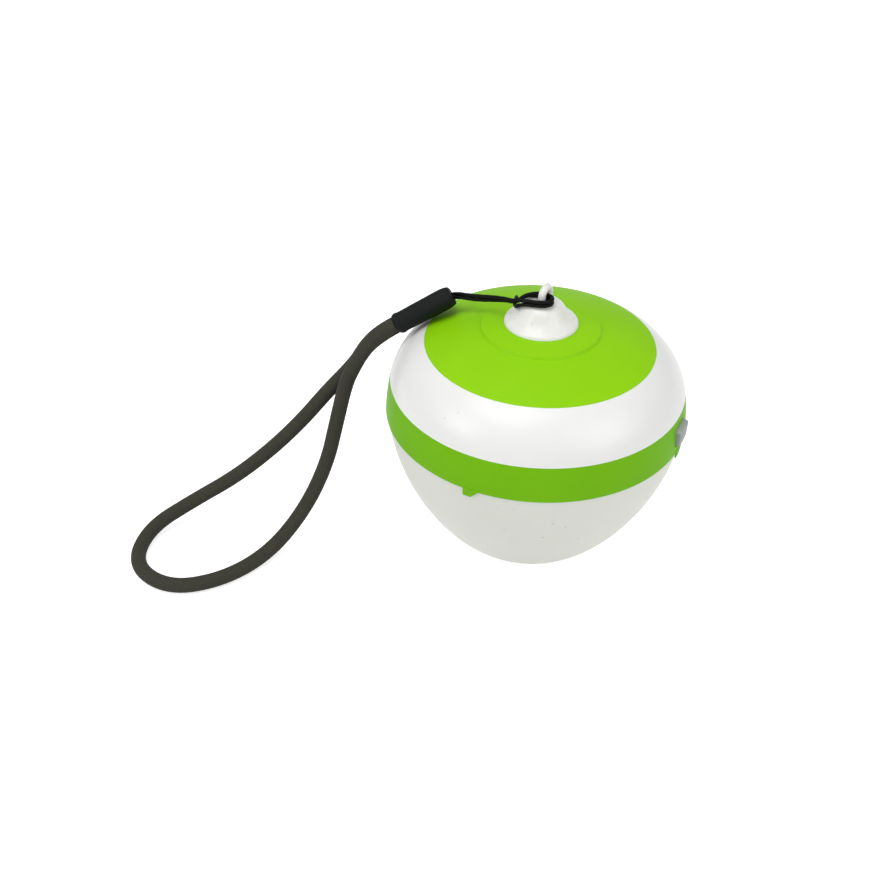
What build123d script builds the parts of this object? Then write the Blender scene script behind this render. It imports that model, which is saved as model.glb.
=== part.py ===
"""Floating pool light: a bowl-shaped lamp with a hanging eyelet and a wrist lanyard.

Millimetres. +Z is up, the origin is the middle of the flat foot, the switch faces +X.
The lamp is built from three casings: a frosted diffuser that twists off, a banded white
shell above it, and a chassis between them that carries the lights and the cells.
"""
import os
from math import cos, pi, radians, sin, sqrt, tan

from build123d import *

os.makedirs("parts", exist_ok=True)

# ---------------------------------------------------------------- driving dimensions
# Clearances
seat_gap = 0.05          # between fixed curved faces that nest
part_gap = 0.1           # between fixed parts that drop into each other
run_gap = 0.3            # between parts that turn or slide past each other

# Outer form
band_radius = 48.6       # widest radius, at the band's lower edge
band_low = 52.6          # height of the band's lower edge
band_height = 11.4
band_taper = 1.6         # how much narrower the band's upper edge is
band_bulge = 0.25        # how far the band swells past a straight cone
foot_radius = 16.0
bowl_power = 1.593       # how fast the bowl's side steepens
bowl_round = 0.662       # how round the bowl's lower edge is
rim_drop = 0.4           # gap under the band's lower edge
rim_inset = 0.5          # how far the bowl's rim lies inside the band
cap_radius = 36.1
shoulder_height = 13.3   # from the band's upper edge to the cap's edge
shoulder_bulge = 1.8     # how far the shoulder swells past a straight cone
dome_radius = 100.0
cap_thickness = 1.8
pad_radius = 18.5        # raised round pad in the cap's middle
pad_rise = 0.8

# Walls
bowl_wall = 2.2
shell_wall = 2.0
band_wall = 2.6
skirt_wall = 1.85
floor_thickness = 1.6
plate_thickness = 1.0
joint_root = 0.4         # how far a lug or hook is sunk into the wall that carries it
through = 10.0           # longer than any wall that a hole is cut through

# Bayonet between the diffuser's collar and the chassis
neck_inset = 8.1         # from the band's bore to the collar's neck
neck_wall = 1.8
lug_reach = 1.6
lug_height = 1.6
lug_angle = 22.0
hook_angle = 26.0
hook_height = 1.6
stop_angle = 1.5
bayonet_turn = 45.0      # where the first of the four hooks lies
socket_wall = 1.2
chassis_rise = 0.4       # chassis above the band's lower edge
seal_shelf = 0.5         # collar left between the lugs and the seal
seal_spare = 0.3         # height spare in the seal's groove
seal_slack = 0.15        # gap between the seal and its land
neck_lip = 1.3           # collar above the seal's groove
floor_clear = 1.0        # between the collar and the chassis floor
seal_section = 0.85      # radius of the diffuser seal's section

# Hanging boss and its eyelet
boss_radius = 11.5
boss_height = 7.7
boss_side = ((0.3, 0.104), (1.7, 0.234), (3.6, 0.494), (4.9, 0.753), (6.3, 0.909), (7.9, 0.987))
stud_radius = 4.0
eye_wire = 1.15          # radius of the eyelet's bar
eye_spread = 2.5         # from the eyelet's middle to the middle of each leg
eye_shift = (0.6, 0.3)
eye_turn = 85.0          # direction of the eyelet's plane, from +X
eye_rise = 9.4           # from the boss's base to the middle of the eyelet's bend

# Batteries, three AAA cells side by side
cell_radius = 5.2
cell_length = 43.2
nub_radius = 1.9
nub_length = 1.0
cell_count = 3
cell_gap = 0.8           # between neighbouring cells
cell_rise = 0.3          # cells above the door
cell_round = 0.6
contact_room = 3.0       # room for the contacts at each end of a cell
tray_wall = 1.4
tray_roof = 1.0
tray_window_end = 8.6    # roof left past each end of the slot over a cell

# Lights
led_size = 5.0
led_thickness = 1.2
led_round = 0.4
led_count = 6
board_thickness = 1.6
board_width = 6.0

# Screws
screw_radius = 1.3
screw_head_radius = 2.5
screw_head_height = 1.5
screw_head_round = 0.5
screw_spare = 1.0        # hole left past a screw's end
drive_length = 2.8       # cross recess in a screw's head
drive_width = 0.6
drive_depth = 0.8
column_radius = 3.0
screw_angles = (30, 150, 210, 330)
chassis_screw_length = 10.0
boss_screw_length = 7.0

# Switch
pad_width = 8.2
pad_height = 5.8
flange_rise = 0.35       # rubber flange above the chassis plate
pad_round = 0.6
pad_proud = 1.4          # how far the pad stands out of the band
pad_corner = 1.0
pad_window_gap = 0.35
flange_thickness = 0.9
flange_lip = 0.6
press_travel = 1.0
tact_travel = 0.3
tact_size = 6.0
tact_height = 1.4
tact_floor = 0.4
stem_radius = 1.6
stem_gap = 0.06
press_spare = 0.15       # left between the flange and the switch when fully pressed
switch_board_thickness = 0.8
switch_board_width = 9.0
switch_board_height = 6.6

# Lanyard
string_size = 1.2
loop_size = 5.0
sleeve_thickness = 6.8
sleeve_width = 11.0
wire_size = 1.0

# ---------------------------------------------------------------- worked-out places
band_high = band_low + band_height
band_top_radius = band_radius - band_taper
bowl_depth = band_low - rim_drop
bowl_radius = band_radius - rim_inset
band_bore = band_radius - band_wall
cap_edge = band_high + shoulder_height
dome_centre = cap_edge - sqrt(dome_radius**2 - cap_radius**2)
boss_foot = pad_rise + seat_gap
boss_base = dome_centre + sqrt((dome_radius + boss_foot)**2 - boss_radius**2)
neck_radius = band_bore - neck_inset
neck_bore = neck_radius - neck_wall
lug_radius = neck_radius + lug_reach
socket_bore = lug_radius + run_gap
socket_radius = socket_bore + socket_wall
chassis_low = band_low + chassis_rise
hook_top = chassis_low + hook_height
lug_low = hook_top + run_gap
lug_top = lug_low + lug_height
seal_low = lug_top + run_gap + seal_shelf
groove_high = seal_low + 2 * seal_section + seal_spare
neck_top = groove_high + neck_lip
floor_low = neck_top + floor_clear
floor_top = floor_low + floor_thickness
led_inner = neck_bore - part_gap - run_gap - board_width
led_radius = led_inner + board_width / 2
board_low = floor_low - board_thickness
cell_pitch = 2 * cell_radius + cell_gap
tray_length = cell_length + nub_length + contact_room
tray_half_x = (cell_count * cell_pitch) / 2 + tray_wall
tray_half_y = tray_length / 2 + tray_wall


def dome_z(radius, offset=0.0):
    """Height of a face that lies offset mm outside the cap's dome."""
    return dome_centre + sqrt((dome_radius + offset)**2 - radius**2)


def bowl_point(height, inset=0.0):
    """Point (radius, height) of the bowl's side at a height share from 0 to 1."""
    side = (1 - (1 - height)**bowl_power)**bowl_round
    radius = foot_radius + (bowl_radius - foot_radius) * side
    return (radius - inset * side, bowl_depth * height + inset * (1 - side))


def radial_plane(angle):
    """Upright plane through the lamp's axis, its X pointing out at an angle in degrees."""
    turn = radians(angle)
    return Plane((0, 0, 0), x_dir=(cos(turn), sin(turn), 0), z_dir=(sin(turn), -cos(turn), 0))


def save(piece, name):
    """Label a finished piece and write it as its own node."""
    piece.part.label = name
    export_step(piece.part, f"parts/{name}.step")


# ---------------------------------------------------------------- diffuser and collar
rim_rebate = 2.0
collar_radius = bowl_point(1 - rim_rebate / bowl_depth, bowl_wall)[0]
heights = (0.0, 0.02, 0.09, 0.22, 0.42, 0.68, 1.0)

with BuildPart() as diffuser:
    with BuildSketch(Plane.XZ):
        with BuildLine():
            outer = Spline([bowl_point(h) for h in heights])
            inner = Spline([bowl_point(h, bowl_wall) for h in heights])
            Line(outer @ 1, inner @ 1)
            Line(inner @ 0, (0, bowl_wall))
            Line((0, bowl_wall), (0, 0))
            Line((0, 0), outer @ 0)
        make_face()
    revolve(axis=Axis.Z)
save(diffuser, "diffuser")

with BuildPart() as diffuser_collar:
    with BuildSketch(Plane.XZ):
        with BuildLine():
            Polyline(
                (neck_bore, bowl_depth - rim_rebate),
                (collar_radius - part_gap, bowl_depth - rim_rebate),
                (collar_radius - part_gap, bowl_depth),
                (neck_radius, bowl_depth),
                (neck_radius, seal_low),
                (neck_radius - seal_section, seal_low),
                (neck_radius - seal_section, groove_high),
                (neck_radius, groove_high),
                (neck_radius, neck_top),
                (neck_bore, neck_top),
                close=True,
            )
        make_face()
    revolve(axis=Axis.Z)
    for quarter in range(4):
        with BuildSketch(radial_plane(bayonet_turn + 90 * quarter - lug_angle / 2)) as lug:
            with Locations((neck_radius - joint_root, lug_low)):
                Rectangle(lug_reach + joint_root, lug_height, align=(Align.MIN, Align.MIN))
        revolve(lug.sketch, axis=Axis.Z, revolution_arc=lug_angle)
save(diffuser_collar, "diffuser_collar")

with BuildPart() as diffuser_o_ring:
    with BuildSketch(Plane.XZ):
        with Locations((neck_radius + seat_gap, (seal_low + groove_high) / 2)):
            Circle(seal_section)
    revolve(axis=Axis.Z)
save(diffuser_o_ring, "diffuser_o_ring")


# ---------------------------------------------------------------- band
tab_points = ((-2.5, 0.5), (-2.5, -2.4), (0.1, -2.4), (2.4, 0.0), (2.4, 0.5))
tab_proud = 0.15
tab_gap = 0.2
tab_depth = 3.0          # of the ring that trims the tabs, below the band
tab_outer = band_radius + tab_proud
tab_inner = bowl_radius + tab_gap
band_middle = (band_radius + band_top_radius) / 2 + band_bulge
window_width = pad_width + 2 * pad_window_gap
window_height = pad_height + 2 * pad_window_gap
flange_width = window_width + 2 * flange_lip
flange_height = window_height + 2 * flange_lip
pad_centre = chassis_low + plate_thickness + flange_rise + flange_height / 2
flange_outer_face = sqrt(band_bore**2 - (flange_width / 2)**2) - part_gap
flange_inner_face = flange_outer_face - flange_thickness

# one pointed index tab, hanging from the band's lower edge over the diffuser's rim
with BuildPart() as index_tab:
    with BuildSketch(Plane((0, 0, band_low), x_dir=(1, 0, 0), z_dir=(0, -1, 0))):
        with BuildLine():
            Polyline(*tab_points, close=True)
        make_face()
    extrude(amount=band_radius + 1)
    with BuildSketch(Plane.XY.offset(band_low - tab_depth)):
        Circle(tab_outer)
        Circle(tab_inner, mode=Mode.SUBTRACT)
    extrude(amount=tab_depth + 1, mode=Mode.INTERSECT)

with BuildPart() as body_ring:
    with BuildSketch(Plane.XZ):
        with BuildLine():
            ThreePointArc(
                (band_radius, band_low),
                (band_middle, band_low + band_height / 2),
                (band_top_radius, band_high),
            )
            Polyline(
                (band_top_radius, band_high),
                (band_bore, band_high),
                (band_bore, band_low),
                (band_radius, band_low),
            )
        make_face()
    revolve(axis=Axis.Z)
    for quarter in range(4):
        add(index_tab.part.rotate(Axis.Z, 90 * quarter))
    with BuildSketch(Plane.YZ):
        with Locations((0, pad_centre)):
            RectangleRounded(window_width, window_height, pad_corner + pad_window_gap)
    extrude(amount=2 * band_radius, mode=Mode.SUBTRACT)
save(body_ring, "body_ring")

# ---------------------------------------------------------------- upper shell
deck_offset = -cap_thickness - seat_gap
skirt_radius = band_bore - seat_gap
skirt_bore = skirt_radius - skirt_wall
skirt_rise = 5.4         # skirt's lower edge above the band's
skirt_low = band_low + skirt_rise
recess_radius = cap_radius + seat_gap
land_radius = 8.5
land_drop = 0.8          # flat land of the washer under the deck
land_z = dome_z(0, deck_offset) - shell_wall - land_drop
seal_groove_width = 2.6
seal_groove_radius = stud_radius + seal_groove_width
seal_groove_depth = 1.45
corner_inset = 1.5
inner_corner = cap_radius - corner_inset


def bulged_arc(start, end, bulge):
    """Arc from start to end that swells by bulge mm away from the lamp's axis."""
    (r1, z1), (r2, z2) = start, end
    length = sqrt((r2 - r1)**2 + (z2 - z1)**2)
    middle = ((r1 + r2) / 2 + bulge * (z2 - z1) / length,
              (z1 + z2) / 2 + bulge * (r1 - r2) / length)
    return ThreePointArc(start, middle, end)


def dome_arc(start_radius, end_radius, offset):
    """Arc that runs along a sphere offset mm outside the cap's dome."""
    middle = (start_radius + end_radius) / 2
    return ThreePointArc(
        (start_radius, dome_z(start_radius, offset)),
        (middle, dome_z(middle, offset)),
        (end_radius, dome_z(end_radius, offset)),
    )


with BuildPart() as shell_blank:
    with BuildSketch(Plane.XZ):
        with BuildLine():
            bulged_arc((band_top_radius, band_high), (recess_radius, cap_edge), shoulder_bulge)
            Line((recess_radius, cap_edge), (recess_radius, dome_z(recess_radius, deck_offset)))
            dome_arc(recess_radius, 0, deck_offset)
            Polyline(
                (0, dome_z(0, deck_offset)),
                (0, skirt_low),
                (skirt_radius, skirt_low),
                (skirt_radius, band_high),
                (band_top_radius, band_high),
            )
        make_face()
    revolve(axis=Axis.Z)

with BuildPart() as shell_columns:
    with BuildSketch(Plane.XY.offset(floor_top)):
        for angle in screw_angles:
            with PolarLocations(led_radius, 1, start_angle=angle):
                Circle(column_radius)
    extrude(amount=2 * shoulder_height)
    add(shell_blank.part, mode=Mode.INTERSECT)

with BuildPart() as upper_shell:
    add(shell_blank.part)
    inner_offset = deck_offset - shell_wall
    with BuildSketch(Plane.XZ):
        with BuildLine():
            dome_arc(land_radius, inner_corner, inner_offset)
            bulged_arc(
                (skirt_bore, band_high),
                (inner_corner, dome_z(inner_corner, inner_offset)),
                shoulder_bulge,
            )
            Polyline(
                (skirt_bore, band_high),
                (skirt_bore, skirt_low - 1),
                (0, skirt_low - 1),
                (0, land_z),
                (land_radius, land_z),
                (land_radius, dome_z(land_radius, inner_offset)),
            )
        make_face()
    revolve(axis=Axis.Z, mode=Mode.SUBTRACT)
    add(shell_columns.part)
    # pilot holes in the four columns
    with BuildSketch(Plane.XY.offset(floor_top)):
        for angle in screw_angles:
            with PolarLocations(led_radius, 1, start_angle=angle):
                Circle(screw_radius + seat_gap)
    extrude(amount=chassis_screw_length - floor_thickness, mode=Mode.SUBTRACT)
    # hole for the boss's stud, and the groove of its seal
    with BuildSketch(Plane.XY.offset(land_z - 1)):
        Circle(stud_radius + seat_gap)
    extrude(amount=through, mode=Mode.SUBTRACT)
    groove_floor = dome_z(seal_groove_radius, deck_offset) - seal_groove_depth
    with BuildSketch(Plane.XY.offset(groove_floor)):
        Circle(seal_groove_radius)
    extrude(amount=through, mode=Mode.SUBTRACT)
    # window in the skirt for the switch
    with BuildSketch(Plane.YZ.offset(socket_radius)):
        with Locations((0, skirt_low - 1)):
            Rectangle(
                flange_width + 2 * run_gap,
                pad_centre + flange_height / 2 + run_gap - skirt_low + 1,
                align=(Align.CENTER, Align.MIN),
            )
    extrude(amount=through, mode=Mode.SUBTRACT)
save(upper_shell, "upper_shell")

# ---------------------------------------------------------------- cap
cap_hole = stud_radius + part_gap
pad_slope = 0.5

with BuildPart() as top_cap:
    with BuildSketch(Plane.XZ):
        with BuildLine():
            dome_arc(cap_radius, pad_radius + pad_slope, 0)
            Line(
                (pad_radius + pad_slope, dome_z(pad_radius + pad_slope)),
                (pad_radius, dome_z(pad_radius, pad_rise)),
            )
            dome_arc(pad_radius, cap_hole, pad_rise)
            Line(
                (cap_hole, dome_z(cap_hole, pad_rise)),
                (cap_hole, dome_z(cap_hole, -cap_thickness)),
            )
            dome_arc(cap_hole, cap_radius, -cap_thickness)
            Line((cap_radius, dome_z(cap_radius, -cap_thickness)), (cap_radius, cap_edge))
        make_face()
    revolve(axis=Axis.Z)
save(top_cap, "top_cap")

# ---------------------------------------------------------------- hanging boss
eye_middle = Vector(eye_shift[0], eye_shift[1], boss_base + eye_rise)
eye_plane = Plane(
    eye_middle,
    x_dir=(cos(radians(eye_turn)), sin(radians(eye_turn)), 0),
    z_dir=(sin(radians(eye_turn)), -cos(radians(eye_turn)), 0),
)
eye_root = 1.6           # how far the legs are sunk into the boss
eye_leg = eye_rise - boss_height + eye_root
stud_low = land_z + part_gap

with BuildPart() as hanging_boss:
    with BuildSketch(Plane.XZ):
        with BuildLine():
            side_points = [
                (boss_radius - inset, boss_base + boss_height * rise) for inset, rise in boss_side
            ]
            Spline([(boss_radius, boss_base)] + side_points + [(0, boss_base + boss_height)])
            Polyline(
                (0, boss_base + boss_height),
                (0, stud_low),
                (stud_radius, stud_low),
                (stud_radius, dome_z(stud_radius, boss_foot)),
            )
            dome_arc(stud_radius, boss_radius, boss_foot)
        make_face()
    revolve(axis=Axis.Z)
    with BuildLine(eye_plane) as eye_path:
        Line((-eye_spread, -eye_leg), (-eye_spread, 0))
        ThreePointArc((-eye_spread, 0), (0, eye_spread), (eye_spread, 0))
        Line((eye_spread, 0), (eye_spread, -eye_leg))
    with BuildSketch(Plane(eye_path.line @ 0, z_dir=(0, 0, 1))):
        Circle(eye_wire)
    sweep(path=eye_path.line)
    with BuildSketch(Plane.XY.offset(stud_low)):
        Circle(screw_radius + seat_gap)
    extrude(amount=boss_screw_length + screw_spare, mode=Mode.SUBTRACT)
save(hanging_boss, "hanging_boss")

boss_seal_section = 0.65
boss_seal_middle = (stud_radius + seal_groove_radius) / 2

with BuildPart() as boss_seal:
    with BuildSketch(Plane.XZ):
        with Locations((boss_seal_middle, groove_floor + boss_seal_section + seat_gap)):
            Circle(boss_seal_section)
    revolve(axis=Axis.Z)
save(boss_seal, "boss_seal")

washer_radius = 6.5
washer_thickness = 1.0


def pan_screw(seat, length):
    """Pan-head screw whose head hangs below seat and whose shank runs up from it."""
    with BuildPart() as screw:
        with BuildSketch(Plane.XY.offset(seat - screw_head_height)):
            Circle(screw_head_radius)
        extrude(amount=screw_head_height)
        fillet(screw.edges().filter_by(GeomType.CIRCLE).sort_by(Axis.Z)[0], screw_head_round)
        with BuildSketch(Plane.XY.offset(seat)):
            Circle(screw_radius)
        extrude(amount=length)
        with BuildSketch(Plane.XY.offset(seat - screw_head_height)):
            Rectangle(drive_length, drive_width)
            Rectangle(drive_width, drive_length)
        extrude(amount=drive_depth, mode=Mode.SUBTRACT)
    return screw.part


with BuildPart() as boss_washer:
    with BuildSketch(Plane.XY.offset(land_z - washer_thickness)):
        Circle(washer_radius)
        Circle(screw_radius + part_gap, mode=Mode.SUBTRACT)
    extrude(amount=washer_thickness)
save(boss_washer, "boss_washer")

boss_screw_solid = pan_screw(land_z - washer_thickness, boss_screw_length)
with BuildPart() as boss_screw:
    add(boss_screw_solid)
save(boss_screw, "boss_screw")

# ---------------------------------------------------------------- chassis
seal_land = neck_radius + seat_gap + seal_section + seal_slack
land_lead = 0.4          # land below the seal's groove
land_low = seal_low - land_lead
plate_radius = band_bore - part_gap
cavity_x = tray_half_x - tray_wall
cavity_y = tray_half_y - tray_wall
door_radius = led_inner - run_gap
door_thickness = 1.4
door_screw_clear = 3.4   # from the cell bay to the door screws
door_screw_y = cavity_y + door_screw_clear
door_screw_head = 1.9
door_screw_radius = 0.9
door_boss_radius = 1.8
door_boss_height = 5.0
tact_back = flange_inner_face - press_travel - press_spare - tact_height
board_back = tact_back - switch_board_thickness
mount_root = 1.0         # how far the board's pad is sunk into the socket's wall
mount_margin = 1.0       # board left showing round its pad
lead_slot = (3.0, 5.0)

with BuildPart() as chassis:
    with BuildSketch(Plane.XZ):
        with BuildLine():
            Polyline(
                (0, floor_low),
                (seal_land, floor_low),
                (seal_land, land_low),
                (socket_bore, land_low),
                (socket_bore, chassis_low),
                (plate_radius, chassis_low),
                (plate_radius, chassis_low + plate_thickness),
                (socket_radius, chassis_low + plate_thickness),
                (socket_radius, floor_top),
                (0, floor_top),
                close=True,
            )
        make_face()
    revolve(axis=Axis.Z)
    # bayonet hooks, each with a stop at its closed end
    for quarter in range(4):
        middle = bayonet_turn + 90 * quarter
        with BuildSketch(radial_plane(middle - hook_angle / 2)) as hook:
            with Locations((neck_radius + run_gap, chassis_low)):
                Rectangle(
                    socket_bore - neck_radius - run_gap + joint_root,
                    hook_height,
                    align=(Align.MIN, Align.MIN),
                )
        revolve(hook.sketch, axis=Axis.Z, revolution_arc=hook_angle)
        with BuildSketch(radial_plane(middle - hook_angle / 2)) as stop:
            with Locations((neck_radius + run_gap, chassis_low)):
                Rectangle(
                    socket_bore - neck_radius - run_gap + joint_root,
                    hook_height + lug_height,
                    align=(Align.MIN, Align.MIN),
                )
        revolve(stop.sketch, axis=Axis.Z, revolution_arc=stop_angle)
    # bosses for the battery door's screws
    with BuildSketch(Plane.XY.offset(floor_top)):
        with Locations((0, door_screw_y), (0, -door_screw_y)):
            Circle(door_boss_radius)
    extrude(amount=door_boss_height)
    # pad that the switch board stands against
    with BuildSketch(Plane.YZ.offset(socket_radius - mount_root)):
        with Locations((0, pad_centre)):
            Rectangle(switch_board_width - 2 * mount_margin, switch_board_height - 2 * mount_margin)
    extrude(amount=board_back - socket_radius + mount_root)
    # battery opening and screw holes
    with BuildSketch(Plane.XY.offset(floor_low)):
        Rectangle(2 * cavity_x, 2 * cavity_y)
        for angle in screw_angles:
            with PolarLocations(led_radius, 1, start_angle=angle):
                Circle(screw_radius + part_gap)
    extrude(amount=floor_thickness, mode=Mode.SUBTRACT)
    with BuildSketch(Plane.XY.offset(floor_low)):
        with Locations((0, door_screw_y), (0, -door_screw_y)):
            Circle(door_screw_radius + seat_gap)
    extrude(amount=floor_thickness + door_boss_height - screw_spare, mode=Mode.SUBTRACT)
    # slot that the light board's leads come up through
    with BuildSketch(Plane.XY.offset(floor_low)):
        with Locations((-led_radius, 0)):
            Rectangle(*lead_slot)
    extrude(amount=floor_thickness, mode=Mode.SUBTRACT)
save(chassis, "chassis")

chassis_screw = pan_screw(board_low, chassis_screw_length)
with BuildPart() as chassis_screws:
    for angle in screw_angles:
        with PolarLocations(led_radius, 1, start_angle=angle):
            add(chassis_screw)
save(chassis_screws, "chassis_screws")

# ---------------------------------------------------------------- batteries
cell_low = floor_low + cell_rise
cell_z = cell_low + cell_radius
tray_top = cell_z + cell_radius + part_gap + tray_roof

with BuildPart() as battery_tray:
    with BuildSketch(Plane.XY.offset(floor_top)):
        Rectangle(2 * tray_half_x, 2 * tray_half_y)
    extrude(amount=tray_top - floor_top)
    with BuildSketch(Plane.XY.offset(floor_top)):
        Rectangle(2 * cavity_x, 2 * cavity_y)
    extrude(amount=tray_top - tray_roof - floor_top, mode=Mode.SUBTRACT)
    # slots in the roof that show each cell
    with BuildSketch(Plane.XY.offset(tray_top - tray_roof)):
        with GridLocations(cell_pitch, 1, cell_count, 1):
            SlotOverall(cell_length - 2 * tray_window_end, cell_radius, rotation=90)
    extrude(amount=tray_roof, mode=Mode.SUBTRACT)
save(battery_tray, "battery_tray")

grip_pitch = 4.0         # grooves for the fingers in the door's outer face
grip_size = (16.0, 1.6)
grip_depth = 0.5

with BuildPart() as battery_door:
    with BuildSketch(Plane.XY.offset(floor_low - door_thickness)):
        Circle(door_radius)
        with Locations((0, door_screw_y), (0, -door_screw_y)):
            Circle(door_screw_radius + part_gap, mode=Mode.SUBTRACT)
    extrude(amount=door_thickness)
    # finger grooves in the outer face
    with BuildSketch(Plane.XY.offset(floor_low - door_thickness)):
        with GridLocations(1, grip_pitch, 1, 3):
            SlotOverall(*grip_size)
    extrude(amount=grip_depth, mode=Mode.SUBTRACT)
save(battery_door, "battery_door")

door_head_height = 1.0
door_screw_length = 6.4
door_drive = (2.2, 0.5)
door_drive_depth = 0.6
door_low = floor_low - door_thickness

with BuildPart() as door_screws:
    with BuildSketch(Plane.XY.offset(door_low - door_head_height)):
        with Locations((0, door_screw_y), (0, -door_screw_y)):
            Circle(door_screw_head)
    extrude(amount=door_head_height)
    with BuildSketch(Plane.XY.offset(door_low)):
        with Locations((0, door_screw_y), (0, -door_screw_y)):
            Circle(door_screw_radius)
    extrude(amount=door_screw_length)
    with BuildSketch(Plane.XY.offset(door_low - door_head_height)):
        with Locations((0, door_screw_y), (0, -door_screw_y)):
            Rectangle(*door_drive)
            Rectangle(*reversed(door_drive))
    extrude(amount=door_drive_depth, mode=Mode.SUBTRACT)
save(door_screws, "door_screws")

plate_sheet = 0.4
plate_margin = 2.0       # between neighbouring contact plates
plate_height = 8.0
spring_wire = 0.3
spring_radius = 2.6
spring_turns = 3
spring_seat = 0.02       # gap between a spring and its plate
spring_free = 0.1        # gap between a spring's two ends and what they face
can_start = cavity_y - plate_sheet - seat_gap - nub_length - cell_length
spring_length = can_start + cavity_y - plate_sheet

for index in range(cell_count):
    letter = "abc"[index]
    side = -1 if index % 2 else 1
    column = (index - (cell_count - 1) / 2) * cell_pitch
    with BuildPart() as cell:
        with BuildSketch(Plane((column, side * can_start, cell_z), z_dir=(0, side, 0))):
            Circle(cell_radius)
        extrude(amount=cell_length)
        fillet(cell.edges().filter_by(GeomType.CIRCLE), cell_round)
        cell_end = side * (can_start + cell_length)
        with BuildSketch(Plane((column, cell_end, cell_z), z_dir=(0, side, 0))):
            Circle(nub_radius)
        extrude(amount=nub_length)
    save(cell, f"battery_cell_{letter}")

with BuildPart() as contact_plates:
    for side in (-1, 1):
        with BuildSketch(Plane((0, side * cavity_y, cell_z), x_dir=(1, 0, 0), z_dir=(0, -side, 0))):
            with GridLocations(cell_pitch, 1, cell_count, 1):
                Rectangle(cell_pitch - plate_margin, plate_height)
        extrude(amount=plate_sheet)
save(contact_plates, "contact_plates")

with BuildPart() as contact_springs:
    for index in range(cell_count):
        side = -1 if index % 2 else 1
        column = (index - (cell_count - 1) / 2) * cell_pitch
        start = side * (-cavity_y + plate_sheet + spring_wire + spring_seat)
        coil_length = spring_length - 2 * spring_wire - spring_free
        with BuildLine() as coil:
            Helix(
                pitch=coil_length / spring_turns,
                height=coil_length,
                radius=spring_radius,
                center=(column, start, cell_z),
                direction=(0, side, 0),
            )
        with BuildSketch(Plane(coil.line @ 0, z_dir=coil.line % 0)):
            Circle(spring_wire)
        sweep(path=coil.line, is_frenet=True)
save(contact_springs, "contact_springs")

# ---------------------------------------------------------------- lights
with BuildPart() as led_board:
    with BuildSketch(Plane.XY.offset(board_low)):
        Circle(led_inner + board_width)
        Circle(led_inner, mode=Mode.SUBTRACT)
        for angle in screw_angles:
            with PolarLocations(led_radius, 1, start_angle=angle):
                Circle(screw_radius + part_gap, mode=Mode.SUBTRACT)
    extrude(amount=board_thickness)
save(led_board, "led_board")

with BuildPart() as leds:
    with BuildSketch(Plane.XY.offset(board_low - led_thickness)):
        with PolarLocations(led_radius, led_count):
            RectangleRounded(led_size, led_size, led_round)
    extrude(amount=led_thickness)
save(leds, "leds")

driver_place = (-25.5, 0)
driver_size = (11.0, 18.0)
driver_thickness = 1.2
driver_stand = 2.0       # height of the board's feet
driver_foot_radius = 0.9
driver_foot_inset = 1.5
driver_top = floor_top + driver_stand + driver_thickness
chip_size = (5.0, 4.0)
chip_height = 1.5
chip_y = -4.0
coil_radius = 2.8
coil_height = 3.0
coil_y = 4.0

with BuildPart() as driver_board:
    with BuildSketch(Plane.XY.offset(floor_top + driver_stand)):
        with Locations(driver_place):
            RectangleRounded(*driver_size, 1.0)
    extrude(amount=driver_thickness)
    # feet that stand the board off the chassis floor
    with BuildSketch(Plane.XY.offset(floor_top)):
        with Locations(driver_place):
            foot_x = driver_size[0] - 2 * driver_foot_inset
            foot_y = driver_size[1] - 2 * driver_foot_inset
            with GridLocations(foot_x, foot_y, 2, 2):
                Circle(driver_foot_radius)
    extrude(amount=driver_stand)
save(driver_board, "driver_board")

with BuildPart() as driver_chip:
    with BuildSketch(Plane.XY.offset(driver_top)):
        with Locations((driver_place[0], chip_y)):
            Rectangle(*chip_size)
    extrude(amount=chip_height)
save(driver_chip, "driver_chip")

with BuildPart() as driver_coil:
    with BuildSketch(Plane.XY.offset(driver_top)):
        with Locations((driver_place[0], coil_y)):
            Circle(coil_radius)
    extrude(amount=coil_height)
    chamfer(driver_coil.edges().group_by(Axis.Z)[-1], 0.5)
save(driver_coil, "driver_coil")

# ---------------------------------------------------------------- switch
stem_outer_face = flange_inner_face - (press_travel - tact_travel) - seat_gap
stem_inner_face = tact_back + tact_floor + tact_travel

with BuildPart() as switch_board:
    with BuildSketch(Plane.YZ.offset(board_back)):
        with Locations((0, pad_centre)):
            Rectangle(switch_board_width, switch_board_height)
    extrude(amount=switch_board_thickness)
save(switch_board, "switch_board")

with BuildPart() as tact_switch:
    with BuildSketch(Plane.YZ.offset(tact_back)):
        with Locations((0, pad_centre)):
            RectangleRounded(tact_size, tact_size, 0.4)
    extrude(amount=tact_height)
    with BuildSketch(Plane.YZ.offset(tact_back + tact_floor)):
        with Locations((0, pad_centre)):
            Circle(stem_radius + stem_gap)
    extrude(amount=tact_height, mode=Mode.SUBTRACT)
save(tact_switch, "tact_switch")

with BuildPart() as switch_stem:
    with BuildSketch(Plane.YZ.offset(stem_inner_face)):
        with Locations((0, pad_centre)):
            Circle(stem_radius)
    extrude(amount=stem_outer_face - stem_inner_face)
save(switch_stem, "switch_stem")

pad_face_radius = band_middle + pad_proud

with BuildPart() as switch_button:
    with BuildSketch(Plane.YZ.offset(flange_outer_face)):
        with Locations((0, pad_centre)):
            RectangleRounded(pad_width, pad_height, pad_corner)
    extrude(amount=band_radius)
    with BuildSketch(Plane.XY.offset(band_low - 5)):
        Circle(pad_face_radius)
    extrude(amount=30, mode=Mode.INTERSECT)
    fillet(switch_button.faces().sort_by(Axis.X)[-1].edges(), pad_round)
    with BuildSketch(Plane.YZ.offset(flange_inner_face)):
        with Locations((0, pad_centre)):
            RectangleRounded(flange_width, flange_height, pad_corner + flange_lip)
    extrude(amount=flange_thickness)
save(switch_button, "switch_button")

# ---------------------------------------------------------------- leads and lanyard


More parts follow.
